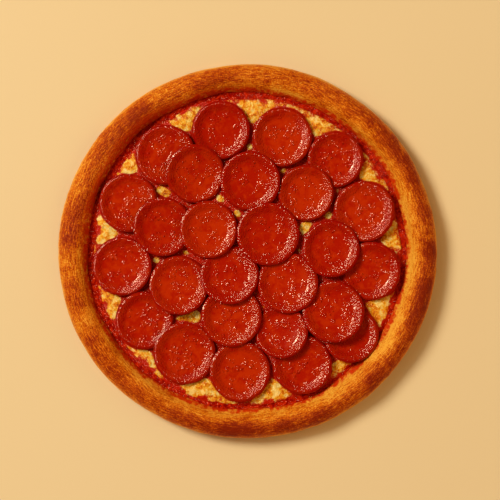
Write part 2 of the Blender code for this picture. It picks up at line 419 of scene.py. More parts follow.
@dataclass(frozen=True)
class Signal:
    """A shader socket that stands in a Python expression, where each step adds a Math node."""

    sheet: "Sheet"
    output: bpy.types.NodeSocket

    def _math(self, operation: str, first: Value, second: Value) -> "Signal":
        """One Math node on two values."""
        made = self.sheet.add("ShaderNodeMath", {"operation": operation}, {0: first, 1: second})
        return Signal(self.sheet, made.outputs[0])

    def __add__(self, other: Value) -> "Signal":
        """This plus other."""
        return self._math("ADD", self, other)

    def __radd__(self, other: Value) -> "Signal":
        """Other plus this."""
        return self._math("ADD", other, self)

    def __sub__(self, other: Value) -> "Signal":
        """This less other."""
        return self._math("SUBTRACT", self, other)

    def __rsub__(self, other: Value) -> "Signal":
        """Other less this."""
        return self._math("SUBTRACT", other, self)

    def __mul__(self, other: Value) -> "Signal":
        """This times other."""
        return self._math("MULTIPLY", self, other)

    def __rmul__(self, other: Value) -> "Signal":
        """Other times this."""
        return self._math("MULTIPLY", other, self)

    def above(self, low: float, high: float) -> "Signal":
        """Rises smoothly from 0 at low to 1 at high, or falls if high is the lower.

        Args:
            low: Where the rise starts.
            high: Where the rise ends.

        Returns:
            The new signal, from 0 to 1.
        """
        settings = {"interpolation_type": "SMOOTHSTEP", "clamp": True}
        falls = high < low
        ends = {1: high, 2: low, 3: 1.0, 4: 0.0} if falls else {1: low, 2: high, 3: 0.0, 4: 1.0}
        made = self.sheet.add("ShaderNodeMapRange", settings, {0: self, **ends})
        return Signal(self.sheet, made.outputs[0])


class Sheet:
    """One material's sheet of nodes, with the Principled shader at its end."""

    def __init__(self, name: str) -> None:
        """Starts a material with only its shader."""
        self.material = bpy.data.materials.new(name)
        self.material.use_nodes = True
        self.tree = self.material.node_tree
        self.shader = self.tree.nodes["Principled BSDF"]

    def add(
        self, kind: str, settings: Mapping[str, object], sockets: Mapping[Union[str, int], Value]
    ) -> bpy.types.Node:
        """One node of any kind.

        Args:
            kind: The node's type.
            settings: Its settings, which are set first. Stops are a ramp's places and colours.
            sockets: What goes into its sockets, by name or number: values or signals.

        Returns:
            The node.
        """
        made = self.tree.nodes.new(kind)
        for key, value in settings.items():
            if key == "stops":
                self._set_stops(made.color_ramp, value)
            else:
                setattr(made, key, value)
        for key, value in sockets.items():
            self.feed(made.inputs[key], value)
        return made

    def feed(self, socket: bpy.types.NodeSocket, value: Value) -> None:
        """Puts a value or a signal into a socket.

        Args:
            socket: The socket.
            value: A number, a colour or a signal.
        """
        if isinstance(value, Signal):
            self.tree.links.new(value.output, socket)
        elif isinstance(value, tuple) and len(socket.default_value) == 4:
            socket.default_value = (*value, 1.0)
        else:
            socket.default_value = value

    @staticmethod
    def _set_stops(ramp: bpy.types.ColorRamp, stops: Sequence[tuple[float, Colour]]) -> None:
        """Gives a ramp its stops.

        Args:
            ramp: The ramp.
            stops: Places from 0 to 1, each with its colour.
        """
        while len(ramp.elements) < len(stops):
            ramp.elements.new(1.0)
        for element, (place, colour) in zip(ramp.elements, stops):
            element.position = place
            element.color = (*colour, 1.0)

    def place(self) -> Signal:
        """The place on the object, in metres."""
        return Signal(self, self.add("ShaderNodeTexCoord", {}, {}).outputs["Object"])

    def number(self, key: str) -> Signal:
        """A number that the piece's points hold."""
        made = self.add("ShaderNodeAttribute", {"attribute_name": key}, {})
        return Signal(self, made.outputs["Fac"])

    def vector(self, key: str) -> Signal:
        """A vector that the piece's points hold."""
        made = self.add("ShaderNodeAttribute", {"attribute_name": key}, {})
        return Signal(self, made.outputs["Vector"])

    def stretched(self, vector: Signal, sizes: Triple) -> Signal:
        """A vector divided by a size along each axis.

        Args:
            vector: A place in metres.
            sizes: The size of one cell along each axis, in metres.

        Returns:
            The place in cells.
        """
        made = self.add("ShaderNodeVectorMath", {"operation": "DIVIDE"}, {0: vector, 1: sizes})
        return Signal(self, made.outputs[0])

    def noise(
        self, vector: Signal, size: float, detail: float = 3.0, rough: float = 0.5, warp: float = 0.0
    ) -> Signal:
        """Soft noise from 0 to 1.

        Args:
            vector: Where to read it.
            size: The size of its largest bumps, in the vector's unit.
            detail: How many finer layers it has.
            rough: How strong the finer layers are.
            warp: How much it is warped by itself.

        Returns:
            The noise.
        """
        sockets = {
            "Vector": vector,
            "Scale": 1.0 / size,
            "Detail": detail,
            "Roughness": rough,
            "Distortion": warp,
        }
        return Signal(self, self.add("ShaderNodeTexNoise", {}, sockets).outputs[0])

    def cells(self, vector: Signal, size: float) -> Signal:
        """A pattern of irregular cells that blend into each other.

        Args:
            vector: Where to read it.
            size: The size of a cell, in the vector's unit.

        Returns:
            The distance to the nearest cell's middle, in cells.
        """
        sockets = {"Vector": vector, "Scale": 1.0 / size}
        made = self.add("ShaderNodeTexVoronoi", {"feature": "SMOOTH_F1"}, sockets)
        return Signal(self, made.outputs["Distance"])

    def ramp(self, signal: Signal, stops: Sequence[tuple[float, Colour]]) -> Signal:
        """Colours along a signal.

        Args:
            signal: A number from 0 to 1.
            stops: Places along it, each with its colour.

        Returns:
            The colour.
        """
        made = self.add("ShaderNodeValToRGB", {"stops": stops}, {0: signal})
        return Signal(self, made.outputs[0])

    def mix(self, share: Value, first: Value, second: Value, blend: str = "MIX") -> Signal:
        """Two colours mixed.

        Args:
            share: How much of the second there is.
            first: The first colour.
            second: The second colour.
            blend: How they are mixed.

        Returns:
            The mixed colour.
        """
        settings = {"data_type": "RGBA", "blend_type": blend, "clamp_factor": True}
        made = self.add("ShaderNodeMix", settings, {0: share, 6: first, 7: second})
        return Signal(self, made.outputs[2])

    def bump(self, height: Signal, depth: float, normal: Union[Signal, None] = None) -> Signal:
        """A relief that is too fine for the mesh.

        Args:
            height: The relief, from 0 to 1.
            depth: What 1 stands for, in metres.
            normal: An earlier relief to add it to.

        Returns:
            The new normal.
        """
        sockets = {"Strength": 1.0, "Distance": depth, "Height": height}
        if normal is not None:
            sockets["Normal"] = normal
        return Signal(self, self.add("ShaderNodeBump", {}, sockets).outputs[0])

    def finish(self, sockets: Mapping[str, Value]) -> bpy.types.Material:
        """The finished material.

        Args:
            sockets: What goes into the shader's sockets.

        Returns:
            The material.
        """
        for key, value in sockets.items():
            self.feed(self.shader.inputs[key], value)
        return self.material


# Finishes


@dataclass(frozen=True)
class BakedDough:
    """Crust that is baked from golden to toasted brown, with fine fibres along the rim."""

    golden: Colour = (0.93, 0.42, 0.040)
    amber: Colour = (0.76, 0.19, 0.003)
    brown: Colour = (0.50, 0.062, 0.0008)
    toasted: Colour = (0.25, 0.016, 0.0004)
    # Red of the sauce on the foot, also used as painted shade on the inner slope at the upper left.
    stain: Colour = (0.62, 0.033, 0.0007)
    fibre_length: float = 5.0 * MM
    fibre_width: float = 0.42 * MM
    fibre_depth: float = 0.6 * MM
    fibre_contrast: float = 1.8
    crumb: float = 1.0 * MM
    crumb_depth: float = 0.45 * MM
    crumb_contrast: float = 1.2
    splash_contrast: float = 0.8
    roughness: float = 0.38
    wetness: float = 0.12
    gloss: float = 0.08

    def material(self) -> bpy.types.Material:
        """Bakes by the piece's own browning, which also holds painted light and shade, broken up by
        fibres, and reddens where the sauce has soaked the foot and where shade is painted there.

        Returns:
            The material.
        """
        sheet = Sheet("baked_dough")
        unrolled = sheet.vector("unrolled")
        sizes = (self.fibre_length, self.fibre_length, self.fibre_width)
        along = sheet.stretched(unrolled, sizes)
        fibres = sheet.noise(along, 1.0, detail=3.0, rough=0.65, warp=0.15)
        crumb = sheet.noise(unrolled, self.crumb, detail=4.0, rough=0.6)
        # The browned number holds painted light, shade and reflection as well as browning.
        browned = sheet.number("browned") + self.fibre_contrast * (fibres - 0.5)
        browned = browned + self.crumb_contrast * (crumb - 0.5)
        stops = (
            (0.12, self.golden),
            (0.42, self.amber),
            (0.68, self.brown),
            (0.95, self.toasted),
        )
        baked = sheet.ramp(browned, stops)
        # The foot's red number is sauce and painted shade together.
        splashed_and_shaded = sheet.number("stain") + self.splash_contrast * (crumb - 0.5)
        stained_and_shaded = splashed_and_shaded.above(0.25, 1.10)
        colour = sheet.mix(stained_and_shaded, baked, self.stain)
        relief = sheet.bump(crumb, self.crumb_depth, sheet.bump(fibres, self.fibre_depth))
        return sheet.finish(
            {
                "Base Color": colour,
                "Roughness": self.roughness - self.wetness * stained_and_shaded,
                "Specular IOR Level": self.gloss,
                "Normal": relief,
            }
        )


@dataclass(frozen=True)
class TomatoSauce:
    """Cooked tomato sauce: dark, wet and pulpy."""

    deep: Colour = (0.30, 0.0012, 0.0002)
    bright: Colour = (0.60, 0.020, 0.0008)
    # Orange of thin sauce, also used as painted light on the lit lower right.
    thin: Colour = (0.74, 0.135, 0.003)
    pulp: float = 2.6 * MM
    pulp_depth: float = 0.6 * MM
    grain: float = 1.0 * MM
    grain_depth: float = 1.1 * MM
    thin_contrast: float = 1.4
    roughness: float = 0.10
    gloss: float = 0.32
    shine: Colour = (1.0, 0.72, 0.55)

    def material(self) -> bpy.types.Material:
        """Mixes deep and bright red in patches as large as the pulp, and orange where it is thin, which
        is more so on the lit lower right as painted light.

        Returns:
            The material.
        """
        sheet = Sheet("tomato_sauce")
        place = sheet.place()
        pulp = sheet.noise(place, self.pulp, detail=4.0, rough=0.6, warp=0.6)
        grain = sheet.noise(place, self.grain, detail=2.0)
        thick = sheet.mix(pulp.above(0.40, 0.62), self.deep, self.bright)
        thinned_and_lit = (sheet.number("thin") + self.thin_contrast * (pulp - 0.5)).above(0.45, 0.95)
        relief = sheet.bump(grain, self.grain_depth, sheet.bump(pulp, self.pulp_depth))
        return sheet.finish(
            {
                "Base Color": sheet.mix(thinned_and_lit, thick, self.thin),
                "Roughness": self.roughness,
                "Specular IOR Level": self.gloss,
                "Specular Tint": self.shine,
                "Normal": relief,
            }
        )


@dataclass(frozen=True)
class MeltedCheese:
    """Melted cheese: creamy where it is thick, golden and oily where it has fried."""

    cream: Colour = (0.97, 0.70, 0.22)
    yellow: Colour = (0.92, 0.47, 0.025)
    golden: Colour = (0.84, 0.24, 0.004)
    browned: Colour = (0.50, 0.075, 0.001)
    # Dark red of sauce and oil, also used as painted shade by and between the slices.
    grease_and_shade: Colour = (0.52, 0.009, 0.0004)
    patch: float = 4.2 * MM
    patch_contrast: float = 1.7
    bubble: float = 2.2 * MM
    bubble_contrast: float = 0.22
    bubble_depth: float = 0.6 * MM
    grain: float = 1.0 * MM
    grain_contrast: float = 0.45
    grain_depth: float = 0.9 * MM
    fried_start: float = -0.663
    grease_contrast: float = 0.8
    roughness: float = 0.10
    grain_roughness: float = 0.16
    gloss: float = 0.45
    shine: Colour = (1.0, 0.86, 0.70)

    def material(self) -> bpy.types.Material:
        """Colours by patches, with fried rings round the bubbles, and reddens where the piece's red
        number says: sauce at the edge, and partly oil and partly painted shade by and between the
        slices.

        Returns:
            The material.
        """
        sheet = Sheet("melted_cheese")
        place = sheet.place()
        patch = sheet.noise(place, self.patch, detail=5.0, rough=0.62, warp=0.4)
        bubbles = sheet.cells(place, self.bubble)
        grain = sheet.noise(place, self.grain, detail=3.0, rough=0.6)
        fried = self.patch_contrast * patch + self.bubble_contrast * bubbles
        fried = fried + self.grain_contrast * grain + self.fried_start + sheet.number("fried")
        runs = sheet.number("grease_and_shade") + self.grease_contrast * (grain + patch - 1.0)
        greased_and_shaded = runs.above(0.40, 0.80)
        stops = ((0.30, self.cream), (0.46, self.yellow), (0.62, self.golden), (0.82, self.browned))
        relief = sheet.bump(grain, self.grain_depth, sheet.bump(bubbles, self.bubble_depth))
        return sheet.finish(
            {
                "Base Color": sheet.mix(greased_and_shaded, sheet.ramp(fried, stops), self.grease_and_shade),
                "Roughness": self.roughness + self.grain_roughness * grain,
                "Specular IOR Level": self.gloss,
                "Specular Tint": self.shine,
                "Normal": relief,
            }
        )


@dataclass(frozen=True)
class Pepperoni:
    """Cured sausage: deep red and faintly marbled, with beads of fat that catch the light."""

    meat: Colour = (0.41, 0.0080, 0.0003)
    warm: Colour = (0.51, 0.0245, 0.0005)
    # Dark red of the rim and lip, partly the meat's own and partly painted shade.
    dark: Colour = (0.28, 0.0008, 0.0001)
    fat: Colour = (0.62, 0.06, 0.004)
    marbling: float = 5.0 * MM
    tone_contrast: float = 0.11
    fleck: float = 1.6 * MM
    fleck_share: float = 0.45
    edge_and_cup_shade: float = 0.34
    lip_and_groove_shade: float = 0.62
    bead: float = 0.95 * MM
    bead_depth: float = 0.66 * MM
    flat_beads: Span = (0.06, 0.61)
    blister: float = 1.6 * MM
    blister_depth: float = 0.45 * MM
    blotch: float = 6.5 * MM
    roughness: float = 0.10
    marbled_roughness: float = 0.08
    gloss: float = 0.72
    shine: Colour = (1.0, 0.80, 0.64)

    def material(self) -> bpy.types.Material:
        """Marbles the meat, darkens the rim and the lip, partly as their own darker red and partly as
        painted shade in the cup and the lip's groove, and beads and blisters the surface.

        Returns:
            The material.
        """
        sheet = Sheet("pepperoni")
        place = sheet.place()
        marbling = sheet.noise(place, self.marbling, detail=4.0, rough=0.55, warp=0.5)
        fleck = sheet.noise(place, self.fleck, detail=3.0, rough=0.6)
        beads = sheet.noise(place, self.bead, detail=0.6, rough=0.4)
        blisters = sheet.cells(place, self.blister).above(0.42, 0.10)
        blotch = sheet.noise(place, self.blotch, detail=2.0)
        share = sheet.number("share")
        warmth = marbling + self.tone_contrast * sheet.number("tone")
        meat = sheet.mix(warmth.above(0.36, 0.66), self.meat, self.warm)
        flecked = sheet.mix(self.fleck_share * fleck.above(0.58, 0.72), meat, self.fat)
        # Darker towards the rim and darkest on the lip: partly a darker edge, partly painted shade
        # inside the cup and in the groove by the lip.
        edge_darkened = sheet.mix(self.edge_and_cup_shade * share.above(0.45, 0.85), flecked, self.dark)
        colour = sheet.mix(self.lip_and_groove_shade * share.above(0.90, 0.95), edge_darkened, self.dark)
        slope = share.above(0.62, 0.76) * share.above(0.98, 0.91)
        flat = 1.0 - slope
        relief = sheet.bump(blisters * blotch.above(0.44, 0.58) * flat, self.blister_depth)
        few, many = self.flat_beads
        beaded = slope + flat * (few + (many - few) * blotch.above(0.51, 0.61))
        relief = sheet.bump(beads * beaded, self.bead_depth, relief)
        return sheet.finish(
            {
                "Base Color": colour,
                "Roughness": self.roughness + self.marbled_roughness * marbling,
                "Specular IOR Level": self.gloss,
                "Specular Tint": self.shine,
                "Normal": relief,
            }
        )


# Layers


@dataclass(frozen=True)
class Lobe:
    """A stretch round the pizza that has more, or less, of something than the rest."""

    bearing: float
    spread: float
    strength: float

    def around(self, angle: Array) -> Array:
        """Its strength round the pizza, which fades as a bell curve.

        Args:
            angle: The angle round the pizza, in radians.

        Returns:
            What it adds.
        """
        away = np.mod(angle - math.radians(self.bearing) + math.pi, TURN) - math.pi
        return self.strength * np.exp(-((away / math.radians(self.spread)) ** 2))


@dataclass(frozen=True)
class RimLobe(Lobe):
    """A lobe that fades across the rim too."""

    across: float
    reach: float

    def over(self, angle: Array, across: Array) -> Array:
        """Its strength over the rim, which fades as two bell curves.

        Args:
            angle: The angle round the pizza, in radians.
            across: The share of the way across the rim, 0 at its inner foot.

        Returns:
            What it adds.
        """
        return self.around(angle) * np.exp(-(((across - self.across) / self.reach) ** 2))


@dataclass
class Crust:
    """The dough: a flat base and a puffed rim."""

    solid: Turned = Turned("crust", 96, 17.0 * MM, 3.0 * MM)
    steps: int = 1080
    rim_rows: int = 78
    flat_rows: int = 4
    fibre_length: float = 8.0 * MM
    fibre_width: float = 1.8 * MM
    fibre_height: float = 0.12 * MM
    drift_length: float = 22.0 * MM
    drift_height: float = 1.6 * MM
    swell_length: float = 17.0 * MM
    swell_height: float = 0.35 * MM
    blister_size: float = 4.0 * MM
    blister_height: float = 0.16 * MM
    blister_from: Span = (0.1, 0.7)
    smooth_start: float = 6.0 * MM
    smooth_end: float = 3.0 * MM
    foot_reach: float = 1.2 * MM
    foot_uneven: float = 0.55
    foot_lean: float = 0.9 * MM
    foot_bearing: float = 135.0
    foot_length: float = 9.0 * MM
    foot_rise: Span = (5.2 * MM, 7.4 * MM)
    foot_fade: Span = (13.0 * MM, 7.8 * MM)
    browning: float = 0.44
    crest_browning: float = 0.16
    crest_heights: Span = (9.0 * MM, 17.0 * MM)
    patch_size: float = 13.0 * MM
    patch_browning: float = 0.32
    blister_browning: float = 0.10
    # Each is bearing, spread, change in browning, place across the rim and reach. The first two are
    # painted light and shade: paler on the inner slope at the lower right, which faces the light, and
    # browner on the outer slope there, which is turned from it. The next four are browner or paler
    # stretches at their bearings. The seventh is a painted reflection: a paler line along the outer
    # edge, strongest at the lower right. The last is painted shade: browner on the inner slope at the
    # upper left, which is turned from the light.
    browning_and_painted_light_lobes: tuple[RimLobe, ...] = (
        RimLobe(-30.0, 75.0, -0.36, 0.10, 0.30),
        RimLobe(-30.0, 80.0, 0.23, 0.70, 0.32),
        RimLobe(-145.0, 40.0, -0.15, 0.25, 0.45),
        RimLobe(80.0, 30.0, -0.18, 0.12, 0.22),
        RimLobe(-95.0, 24.0, 0.22, 0.62, 0.25),
        RimLobe(25.0, 28.0, 0.16, 0.66, 0.25),
        RimLobe(-30.0, 300.0, -0.40, 1.0, 0.06),
        RimLobe(155.0, 62.0, 0.18, 0.45, 0.30),
    )
    stain_reach: float = 0.095
    # The foot's red reaches further towards the upper left, where the inner slope is turned from the
    # light, by this lean and the lobe at 138°: painted shade. The lobe at -38° is a red band by a slice
    # at the lower right, partly sauce and partly painted shade under that slice.
    painted_shade_lean: float = 0.06
    painted_shade_bearing: float = 150.0
    stain_and_shade_lobes: tuple[Lobe, ...] = (Lobe(-38.0, 16.0, 0.08), Lobe(138.0, 40.0, 0.30))
    stain_fade: float = 1.4
    stain_side: Span = (0.5, 0.6)
    splash_size: float = 2.4 * MM
    splash_strength: float = 0.9
    splash_fade: Span = (0.20, 0.02)

    def surface(self) -> Surface:
        """The crust's surface, with its browning and its sauce red, both with painted light and shade
        in them, and its unrolled places.

        The rim is a spline through the solid's rings. The unrolled place is a point on a circle as
        wide as the rim, and the length along the section, so that fibres run round with no seam.

        Returns:
            The surface.
        """
        solid = self.solid.rings(self.steps)
        rim, places = threaded(solid, self.rim_rows)
        shares = np.arange(1, self.flat_rows)[:, None, None] / self.flat_rows
        flat = np.array([1.0, 0.0])
        under, floor = shares * solid[:1] * flat, shares[::-1] * solid[-1:] * flat
        under[..., 1], floor[..., 1] = solid[0, :, 1].mean(), solid[-1, :, 1].mean()
        section = np.concatenate([under, rim, floor])
        along = np.pad(places, self.flat_rows - 1, mode="edge")
        return self._dressed(section, along, places[-1])

    def _dressed(self, section: Array, along: Array, length: float) -> Surface:
        """Puts relief, browning and sauce red on the section, with painted light and shade in the last
        two.

        Args:
            section: Radius and height, by row and step.
            along: The length along the section, by row.
            length: The rim's length along the section.

        Returns:
            The surface.
        """
        angle = angles(self.steps)
        radius, height = section[..., 0], section[..., 1]
        inner, outer = radius[-self.flat_rows], radius.max(axis=0)
        across = (radius - inner) / (outer - inner)
        radius = radius - self._foot(angle, inner) * self._foot_share(height, across)
        along = np.broadcast_to(along[:, None], radius.shape)
        round_it = np.broadcast_to(radius.max() * circle(self.steps)[:, :2], (*radius.shape, 2))
        unrolled = np.concatenate([round_it, along[..., None]], axis=-1)
        unrolled[..., 2] += self.drift_height * noise(unrolled / self.drift_length, Draw.DRIFT)
        blisters = layered(unrolled / self.blister_size, Draw.BLISTERS, layers=2)
        blisters = smooth_step(blisters, *self.blister_from)
        fields = {
            "unrolled": unrolled,
            "browned": self._browning_and_painted_light(unrolled, angle, across, height, blisters),
            "stain": self._stain_and_shade(unrolled, angle, across, along / length),
        }
        plain = Surface(*round_axis(radius, height), fields)
        on_rim = smooth_step(along, 0.0, self.smooth_start)
        on_rim = on_rim * smooth_step(along, length, length - self.smooth_end)
        return plain.raised(self._relief(unrolled, blisters) * on_rim)

    def _relief(self, unrolled: Array, blisters: Array) -> Array:
        """The relief of fibres, broad swells and blisters.

        Args:
            unrolled: The unrolled places.
            blisters: How much of a blister is at each, from 0 to 1.

        Returns:
            The relief in metres.
        """
        sizes = [self.fibre_length, self.fibre_length, self.fibre_width]
        fibres = layered(unrolled / sizes, Draw.FIBRES, layers=2)
        swell = layered(unrolled / self.swell_length, Draw.SWELL, layers=2)
        relief = self.fibre_height * fibres + self.swell_height * swell
        return relief + self.blister_height * blisters

    def _browning_and_painted_light(
        self, unrolled: Array, angle: Array, across: Array, height: Array, blisters: Array
    ) -> Array:
        """How far the crust is baked: more on the crest and blisters, and by stretches round the rim
        and patches, with painted light, shade and reflection in some of those stretches.

        Args:
            unrolled: The unrolled places.
            angle: The angle round the pizza, in radians.
            across: The share of the way across the rim.
            height: The height.
            blisters: How much of a blister is at each place, from 0 to 1.

        Returns:
            The browning with painted light and shade, where 0 is pale and 1 is toasted.
        """
        browned = self.browning + self.crest_browning * smooth_step(height, *self.crest_heights)
        browned = browned + sum(lobe.over(angle, across) for lobe in self.browning_and_painted_light_lobes)
        patches = layered(unrolled / self.patch_size, Draw.BROWNING)
        return browned + self.patch_browning * patches + self.blister_browning * blisters

    def _stain_and_shade(self, unrolled: Array, angle: Array, across: Array, share: Array) -> Array:
        """How far the sauce has reddened the rim's foot, with splashes at its edge, and painted shade:
        it reaches further up the inner slope towards the upper left, which is turned from the light.

        Args:
            unrolled: The unrolled places.
            angle: The angle round the pizza, in radians.
            across: The share of the way across the rim.
            share: The share of the way along the section, from its underside.

        Returns:
            The red of sauce and painted shade, where 1 is as red as it gets.
        """
        reach = self.stain_reach + self.painted_shade_lean * facing(angle, self.painted_shade_bearing)
        reach = reach + sum(lobe.around(angle) for lobe in self.stain_and_shade_lobes)
        stain = smooth_step(across / reach, self.stain_fade, 0.0)
        splashes = layered(unrolled / self.splash_size, Draw.SPLASHES)
        stain = stain + self.splash_strength * splashes * smooth_step(across, *self.splash_fade)
        return stain * smooth_step(share, *self.stain_side)

    def _foot(self, angle: Array, inner: Array) -> Array:
        """How far the rim's foot spreads inwards, more towards the lower right, and unevenly.

        Args:
            angle: The angle round the pizza, in radians.
            inner: The foot's radius.

        Returns:
            The reach in metres, by step.
        """
        place = circle(self.steps) * inner[:, None] / self.foot_length
        uneven = 1.0 + self.foot_uneven * layered(place, Draw.FOOT, layers=2)
        lean = self.foot_lean * facing(angle, self.foot_bearing)
        return np.maximum(self.foot_reach * uneven - lean, 0.0)

    def _foot_share(self, height: Array, across: Array) -> Array:
        """How much of the foot's reach each height takes: all at the sauce, none on the crest."""
        risen = smooth_step(height, *self.foot_rise) * smooth_step(height, *self.foot_fade)
        return risen * (across < 0.5)

    def build(self) -> bpy.types.Object:
        """Makes and dresses the crust."""
        return dress(self.surface(), BakedDough().material(), "crust")


@dataclass
class Sauce:
    """The sauce: a flat layer whose lumpy edge clings to the rim's foot and creeps up it."""

    solid: Turned = Turned("sauce", 96, 1.7 * MM, 5.9 * MM)
    steps: int = 1200
    edge_rows: int = 34
    cling: float = 0.55 * MM
    creep: float = 0.5 * MM
    creep_length: float = 5.0 * MM
    lump_size: float = 2.8 * MM
    lump_height: float = 0.50 * MM
    level: float = 7.8 * MM
    ring_width: float = 9.0 * MM
    ring_rows: int = 24
    sink: float = 1.4 * MM
    sink_reach: Span = (2.0 * MM, 5.0 * MM)
    under_shares: Span = (0.5, 0.97)
    layer_shares: Span = (0.9, 0.5)
    shown_reach: Span = (10.0 * MM, 6.0 * MM)
    free_heights: Span = (5.9 * MM, 6.4 * MM)
    # Thin orange sauce at the rim's foot leans towards the lower right, where the light falls, and away
    # from the upper left, which the rim shades: that lean is painted light.
    thin: float = 0.30
    lit_side_lean: float = 0.40
    shaded_side_bearing: float = 155.0
    thin_width: float = 3.0 * MM
    # The edge's points: clings outwards, millimetres up, and the share of the creep.
    edge_points: tuple[Triple, ...] = (
        (-1.2, 5.3, 0.0),
        (1.0, 5.8, 0.0),
        (1.0, 7.6, 0.9),
        (0.0, 7.9, 1.0),
        (-2.0, 7.8, 0.8),
        (-5.0, 7.8, 0.5),
        (-9.0, 7.8, 0.0),
    )

    def surface(self) -> Surface:
        """The sauce's surface, from its underside over its edge to the layer under the cheese.

        Returns:
            The surface.
        """
        edge = self.solid.rings(self.steps)[2, :, 0]
        angle = angles(self.steps)
        bead = self._bead(edge)
        inward = np.linspace(0.0, self.ring_width, self.ring_rows + 1)[1:, None]
        sunk = self.level - self.sink * smooth_step(inward, *self.sink_reach)
        ring = np.stack(np.broadcast_arrays(bead[-1, :, 0] - inward, sunk), axis=-1)
        under, layer = drawn_in(bead[0], self.under_shares), drawn_in(ring[-1], self.layer_shares)
        section = np.concatenate([under, bead, ring, layer])
        radius, height = section[..., 0], section[..., 1]
        plain = Surface(*round_axis(radius, height))
        lumps = layered(plain.rings / self.lump_size, Draw.LUMPS)
        # Painted light: more orange on the lit side, less on the shaded side.
        lean = self.thin - self.lit_side_lean * facing(angle, self.shaded_side_bearing)
        plain.fields["thin"] = lean * smooth_step(radius, edge - self.thin_width, edge)
        far, near = self.shown_reach
        free = smooth_step(radius, edge - far, edge - near) * smooth_step(height, *self.free_heights)
        return plain.raised(self.lump_height * lumps * free)

    def _bead(self, edge: Array) -> Array:
        """The sauce's edge, a spline through seven points of each column.

        Three points run up the rim's foot, the fourth is where the sauce ends on it, and the last
        three lead to the layer. All but the lowest two and the last are higher where smooth noise
        is, so the sauce creeps up the foot unevenly.

        Args:
            edge: The solid's outer radius, by step.

        Returns:
            Radius and height, by row and step.
        """
        round_it = edge[:, None] * circle(self.steps)
        creep = self.creep * layered(round_it / self.creep_length, Draw.CREEP)
        out, base, lift = np.array(self.edge_points).T[..., None]
        radius, height = edge + out * self.cling, base * MM + lift * creep
        return threaded(np.stack([radius, height], axis=-1), self.edge_rows)[0]

    def build(self) -> bpy.types.Object:
        """Makes and dresses the sauce."""
        return dress(self.surface(), TomatoSauce().material(), "sauce")


@dataclass
class Cheese:
    """The cheese: a bubbled layer whose edge runs out in tongues."""

    slices: Sequence["Slice"]
    solid: Turned = Turned("cheese", 84, 43.0 * MM, 8.2 * MM)
    steps: int = 720
    rows: int = 118
    orders: int = 13
    crowding: float = 1.35
    under_shares: Span = (0.5, 0.97)
    edge_shares: Span = (0.90, 0.99)
    top_heights: Span = (7.2 * MM, 9.0 * MM)
    tongue_length: float = 3.0 * MM
    tongue_reach: float = 0.5 * MM
    bubble_size: float = 2.6 * MM
    bubble_height: float = 0.6 * MM
    covered_reach: float = 6.0 * MM
    sink: float = 0.12 * MM
    droop: float = 0.7 * MM
    fried: float = -0.02
    bubble_fried: float = 0.10
    stain_radius: float = 103.4 * MM
    stain_size: float = 4.0 * MM
    stain_wander: float = 4.5 * MM
    stain_inside: float = 6.5 * MM
    stain_outside: float = 2.0 * MM
    mixed: Lobe = Lobe(65.0, 45.0, 5.5 * MM)
    # Red by the slices' edges and in narrow gaps: partly oil, partly painted shade.
    slice_grease_and_shade: float = 0.7
    slice_reach: float = 1.3 * MM
    gap_reach: Span = (3.2 * MM, 1.4 * MM)

    def surface(self) -> Surface:
        """The cheese's surface: a spline through the solid's rings, bubbled where no slice lies.

        Returns:
            The surface.
        """
        solid = self.solid.rings(self.steps, self.orders)
        top = threaded(solid, self.rows, self.crowding)[0]
        section = np.concatenate([drawn_in(solid[0], self.under_shares), top])
        radius, height = section[..., 0], section[..., 1]
        rim = solid[..., 0].max()
        tongues = layered(circle(self.steps) * rim / self.tongue_length, Draw.TONGUES)
        near_edge = smooth_step(radius / rim, *self.edge_shares)
        radius = radius + self.tongue_reach * tongues * near_edge
        height = height - self.droop * near_edge * smooth_step(height, *self.top_heights)
        plain = Surface(*round_axis(radius, height))
        plain.ends[1, 2] -= self.sink
        nearest, pair = self._gaps(plain.rings[..., 0], plain.rings[..., 1])
        bubbles = layered(plain.rings / self.bubble_size, Draw.BUBBLES)
        uncovered = smooth_step(nearest, -self.covered_reach, 0.0)
        relief = self.bubble_height * bubbles * uncovered - self.sink * (1.0 - uncovered)
        plain.fields["fried"] = self.bubble_fried * bubbles + self.fried
        plain.fields["grease_and_shade"] = self._reddened(plain.rings, radius, nearest, pair)
        return plain.raised(relief * smooth_step(height, *self.top_heights))

    def _reddened(self, rings: Array, radius: Array, nearest: Array, pair: Array) -> Array:
        """How red the cheese is: by the slices and in narrow gaps, partly oil and partly painted shade,
        and where it meets the sauce, mixed sauce.

        Args:
            rings: The places.
            radius: How far they are from the axis.
            nearest: The distance to the nearest slice's edge.
            pair: The mean distance to the nearest two.

        Returns:
            The redness, where 1 and more are as red as it gets.
        """
        # By the slices' edges and in narrow gaps the red is partly oil and partly painted shade; at the
        # edge it is mixed sauce.
        near = self.slice_grease_and_shade * smooth_step(nearest, self.slice_reach, 0.0)
        narrow = smooth_step(pair, *self.gap_reach)
        wander = self.stain_wander * layered(rings / self.stain_size, Draw.MIXING, layers=2)
        mixed = self.mixed.around(angles(self.steps))
        low, high = -self.stain_inside - mixed, self.stain_outside + mixed
        return near + narrow + smooth_step(radius + wander - self.stain_radius, low, high)

    def _gaps(self, x: Array, y: Array) -> tuple[Array, Array]:
        """How far each place is from the slices' edges.

        Args:
            x: The places' x.
            y: The places' y.

        Returns:
            The distance to the nearest edge, below 0 under a slice, and the mean of the nearest
            two, which is small only in a narrow gap.
        """
        away = np.stack([each.edge_distance(x, y) for each in self.slices])
        away = np.partition(away, 1, axis=0)
        return away[0], (away[0] + away[1]) / 2.0

    def build(self) -> bpy.types.Object:
        """Makes and dresses the cheese."""
        return dress(self.surface(), MeltedCheese().material(), "cheese")


